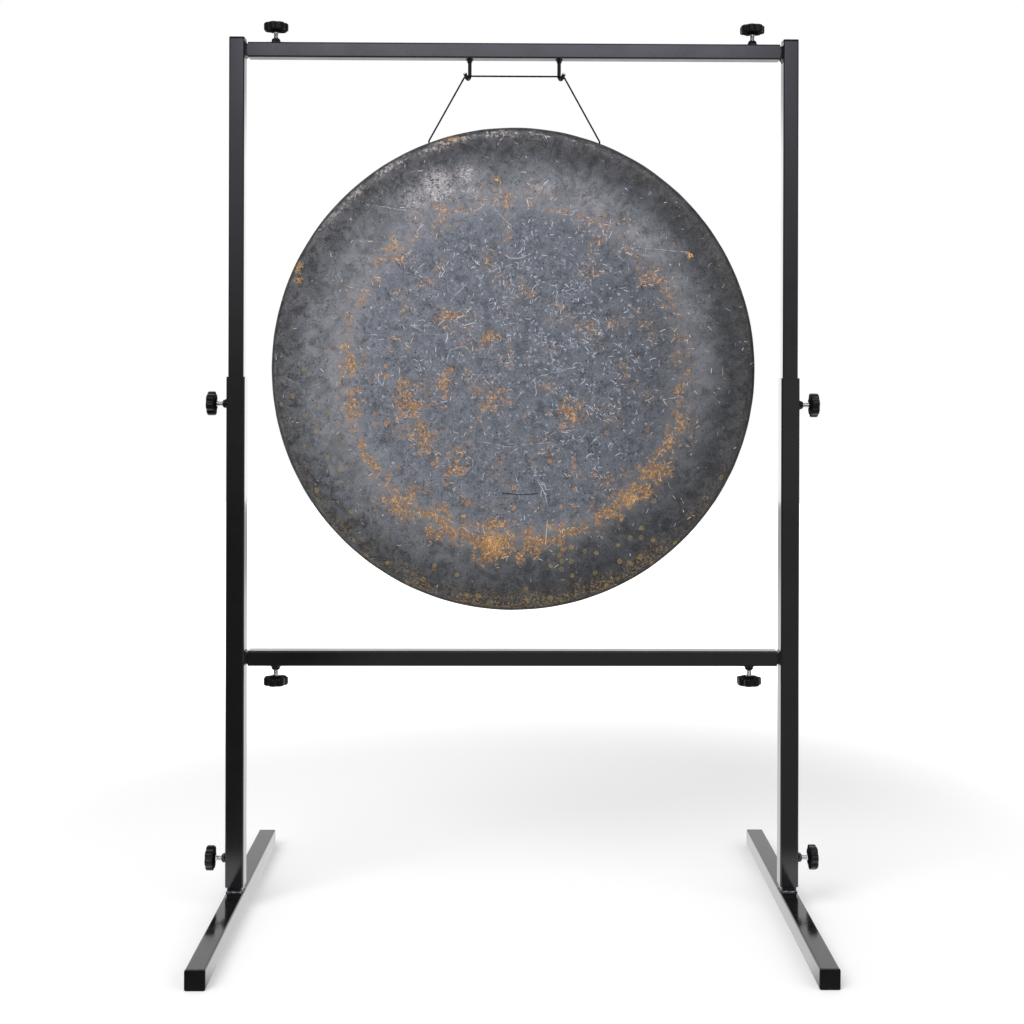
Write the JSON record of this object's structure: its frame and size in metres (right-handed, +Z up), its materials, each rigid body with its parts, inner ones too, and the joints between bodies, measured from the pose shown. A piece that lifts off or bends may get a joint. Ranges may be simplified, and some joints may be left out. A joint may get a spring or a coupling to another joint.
{
  "type": "gong stand",
  "caption": "Free-standing square-tube frame on long feet with height-adjustable uprights, clamp screws and hooks, holding a large gong hung on a cord.",
  "frame": {"origin": "on the floor, in the middle of the four ends of the feet", "axes": "+Z up, -Y the side that the gong's face looks to, +X to the right as seen from in front of the gong"},
  "size_m": [0.9994, 0.61, 1.4469],
  "materials": {
    "powder_coat": "smooth glossy black powder coat on steel",
    "zinc_plate": "bright zinc plate on steel",
    "black_plastic": "satin black moulded plastic",
    "gong_bronze": "hammered bronze with a dark blue-grey patina and copper specks",
    "cord_fibre": "dark grey braided cord"
  },
  "bodies": {
    "root": {"left_foot_tube": "powder_coat", "left_foot_front_plug": "black_plastic", "left_foot_rear_plug": "black_plastic", "left_foot_stub": "powder_coat", "left_lower_upright": "powder_coat", "left_lower_bar_stub": "powder_coat", "left_foot_nut": "powder_coat", "left_height_nut": "powder_coat", "left_lower_bar_nut": "powder_coat", "right_foot_tube": "powder_coat", "right_foot_front_plug": "black_plastic", "right_foot_rear_plug": "black_plastic", "right_foot_stub": "powder_coat", "right_lower_upright": "powder_coat", "right_lower_bar_stub": "powder_coat", "right_foot_nut": "powder_coat", "right_height_nut": "powder_coat", "right_lower_bar_nut": "powder_coat", "lower_crossbar": "powder_coat"},
    "upper_frame": {"left_upper_upright": "powder_coat", "left_top_plug": "black_plastic", "left_top_bar_stub": "powder_coat", "left_top_bar_nut": "powder_coat", "left_hook": "powder_coat", "right_upper_upright": "powder_coat", "right_top_plug": "black_plastic", "right_top_bar_stub": "powder_coat", "right_top_bar_nut": "powder_coat", "right_hook": "powder_coat", "top_crossbar": "powder_coat"},
    "gong": {"gong": "gong_bronze", "gong_cord": "cord_fibre"},
    "left_foot_screw": {"left_foot_bolt": "zinc_plate"},
    "left_foot_knob": {"left_foot_knob": "black_plastic"},
    "left_height_screw": {"left_height_bolt": "zinc_plate"},
    "left_height_knob": {"left_height_knob": "black_plastic"},
    "left_lower_bar_screw": {"left_lower_bar_bolt": "zinc_plate"},
    "left_lower_bar_knob": {"left_lower_bar_knob": "black_plastic"},
    "left_top_bar_screw": {"left_top_bar_bolt": "zinc_plate"},
    "left_top_bar_knob": {"left_top_bar_knob": "black_plastic"},
    "right_foot_screw": {"right_foot_bolt": "zinc_plate"},
    "right_foot_knob": {"right_foot_knob": "black_plastic"},
    "right_height_screw": {"right_height_bolt": "zinc_plate"},
    "right_height_knob": {"right_height_knob": "black_plastic"},
    "right_lower_bar_screw": {"right_lower_bar_bolt": "zinc_plate"},
    "right_lower_bar_knob": {"right_lower_bar_knob": "black_plastic"},
    "right_top_bar_screw": {"right_top_bar_bolt": "zinc_plate"},
    "right_top_bar_knob": {"right_top_bar_knob": "black_plastic"}
  },
  "joints": [
    {"name": "height_slide", "type": "slide", "parent": "root", "child": "upper_frame", "axis": [0, 0, 1], "range_m": [-0.05, 0.25]},
    {"name": "gong_swing", "type": "hinge", "parent": "upper_frame", "child": "gong", "pos_m": [0, -0.00629, 1.36], "axis": [1, 0, 0], "range_deg": [-35, 35]},
    {"name": "left_foot_screw_travel", "type": "slide", "parent": "root", "child": "left_foot_screw", "axis": [-1, 0, 0], "range_m": [0, 0.0038]},
    {"name": "left_foot_knob_turn", "type": "hinge", "parent": "left_foot_screw", "child": "left_foot_knob", "pos_m": [-0.49, 0, 0.084], "axis": [-1, 0, 0], "range_deg": [0, 1080]},
    {"name": "left_height_screw_travel", "type": "slide", "parent": "root", "child": "left_height_screw", "axis": [-1, 0, 0], "range_m": [0, 0.0038]},
    {"name": "left_height_knob_turn", "type": "hinge", "parent": "left_height_screw", "child": "left_height_knob", "pos_m": [-0.49, 0, 0.825], "axis": [-1, 0, 0], "range_deg": [0, 1080]},
    {"name": "left_lower_bar_screw_travel", "type": "slide", "parent": "root", "child": "left_lower_bar_screw", "axis": [0, 0, -1], "range_m": [0, 0.0038]},
    {"name": "left_lower_bar_knob_turn", "type": "hinge", "parent": "left_lower_bar_screw", "child": "left_lower_bar_knob", "pos_m": [-0.3868, 0, 0.375], "axis": [0, 0, -1], "range_deg": [0, 1080]},
    {"name": "left_top_bar_screw_travel", "type": "slide", "parent": "upper_frame", "child": "left_top_bar_screw", "axis": [0, 0, 1], "range_m": [0, 0.0038]},
    {"name": "left_top_bar_knob_turn", "type": "hinge", "parent": "left_top_bar_screw", "child": "left_top_bar_knob", "pos_m": [-0.3893, 0, 1.44], "axis": [0, 0, 1], "range_deg": [0, 1080]},
    {"name": "right_foot_screw_travel", "type": "slide", "parent": "root", "child": "right_foot_screw", "axis": [1, 0, 0], "range_m": [0, 0.0038]},
    {"name": "right_foot_knob_turn", "type": "hinge", "parent": "right_foot_screw", "child": "right_foot_knob", "pos_m": [0.49, 0, 0.084], "axis": [1, 0, 0], "range_deg": [0, 1080]},
    {"name": "right_height_screw_travel", "type": "slide", "parent": "root", "child": "right_height_screw", "axis": [1, 0, 0], "range_m": [0, 0.0038]},
    {"name": "right_height_knob_turn", "type": "hinge", "parent": "right_height_screw", "child": "right_height_knob", "pos_m": [0.49, 0, 0.825], "axis": [1, 0, 0], "range_deg": [0, 1080]},
    {"name": "right_lower_bar_screw_travel", "type": "slide", "parent": "root", "child": "right_lower_bar_screw", "axis": [0, 0, -1], "range_m": [0, 0.0038]},
    {"name": "right_lower_bar_knob_turn", "type": "hinge", "parent": "right_lower_bar_screw", "child": "right_lower_bar_knob", "pos_m": [0.3868, 0, 0.375], "axis": [0, 0, -1], "range_deg": [0, 1080]},
    {"name": "right_top_bar_screw_travel", "type": "slide", "parent": "upper_frame", "child": "right_top_bar_screw", "axis": [0, 0, 1], "range_m": [0, 0.0038]},
    {"name": "right_top_bar_knob_turn", "type": "hinge", "parent": "right_top_bar_screw", "child": "right_top_bar_knob", "pos_m": [0.3893, 0, 1.44], "axis": [0, 0, 1], "range_deg": [0, 1080]}
  ],
  "couplings": [
    {"joint": "left_foot_screw_travel", "follows": "left_foot_knob_turn", "m_per_rad": 0.00019894},
    {"joint": "left_height_screw_travel", "follows": "left_height_knob_turn", "m_per_rad": 0.00019894},
    {"joint": "left_lower_bar_screw_travel", "follows": "left_lower_bar_knob_turn", "m_per_rad": 0.00019894},
    {"joint": "left_top_bar_screw_travel", "follows": "left_top_bar_knob_turn", "m_per_rad": 0.00019894},
    {"joint": "right_foot_screw_travel", "follows": "right_foot_knob_turn", "m_per_rad": 0.00019894},
    {"joint": "right_height_screw_travel", "follows": "right_height_knob_turn", "m_per_rad": 0.00019894},
    {"joint": "right_lower_bar_screw_travel", "follows": "right_lower_bar_knob_turn", "m_per_rad": 0.00019894},
    {"joint": "right_top_bar_screw_travel", "follows": "right_top_bar_knob_turn", "m_per_rad": 0.00019894}
  ]
}
